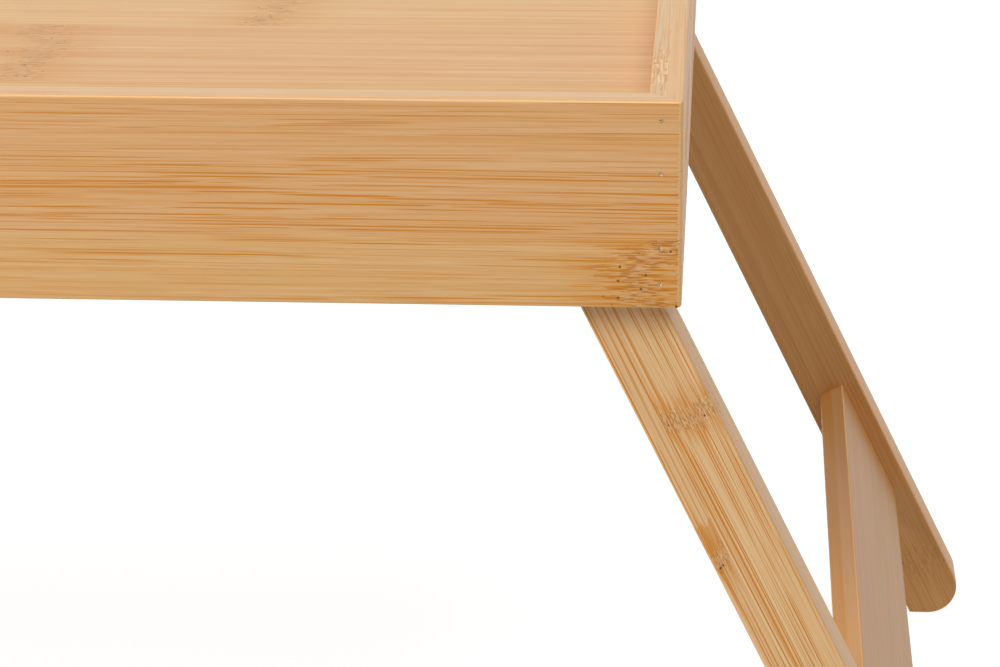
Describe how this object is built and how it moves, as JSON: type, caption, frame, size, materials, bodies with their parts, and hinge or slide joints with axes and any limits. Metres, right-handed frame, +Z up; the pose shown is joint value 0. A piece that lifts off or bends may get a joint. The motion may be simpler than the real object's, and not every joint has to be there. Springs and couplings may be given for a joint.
{
  "type": "bed tray table",
  "caption": "Shallow bamboo tray with mitred rails, carried by U-shaped leg frames that splay outwards over a lap and fold flat beneath the floor.",
  "frame": {"origin": "middle of the table, at the level that the feet stand on", "axes": "+X along the tray to its right end, +Y from the front rail to the rear rail, +Z up"},
  "size_m": [0.7214, 0.3, 0.248],
  "materials": {
    "rail_bamboo": "satin clear lacquer over caramel and natural laminated bamboo strips",
    "floor_bamboo": "satin clear lacquer over a flat-laid bamboo panel",
    "leg_bamboo": "satin clear lacquer over laminated bamboo strips that run along the piece",
    "zinc_steel": "bright zinc plating"
  },
  "bodies": {
    "tray": {"front_rail": "rail_bamboo", "rear_rail": "rail_bamboo", "right_end_rail": "rail_bamboo", "left_end_rail": "rail_bamboo", "tray_floor": "floor_bamboo", "right_front_brads": "zinc_steel", "right_front_pivot_screw": "zinc_steel", "right_front_washers": "zinc_steel", "right_rear_brads": "zinc_steel", "right_rear_pivot_screw": "zinc_steel", "right_rear_washers": "zinc_steel", "left_front_brads": "zinc_steel", "left_front_pivot_screw": "zinc_steel", "left_front_washers": "zinc_steel", "left_rear_brads": "zinc_steel", "left_rear_pivot_screw": "zinc_steel", "left_rear_washers": "zinc_steel"},
    "right_leg_frame": {"right_crossbar": "leg_bamboo", "right_front_leg": "leg_bamboo", "right_front_crossbar_screws": "zinc_steel", "right_rear_leg": "leg_bamboo", "right_rear_crossbar_screws": "zinc_steel"},
    "left_leg_frame": {"left_crossbar": "leg_bamboo", "left_front_leg": "leg_bamboo", "left_front_crossbar_screws": "zinc_steel", "left_rear_leg": "leg_bamboo", "left_rear_crossbar_screws": "zinc_steel"}
  },
  "joints": [
    {"name": "right_leg_fold", "type": "hinge", "parent": "tray", "child": "right_leg_frame", "pos_m": [0.2488, 0, 0.22], "axis": [0, 1, 0], "range_deg": [0, 116]},
    {"name": "left_leg_fold", "type": "hinge", "parent": "tray", "child": "left_leg_frame", "pos_m": [-0.2488, 0, 0.22], "axis": [0, -1, 0], "range_deg": [0, 116]}
  ]
}
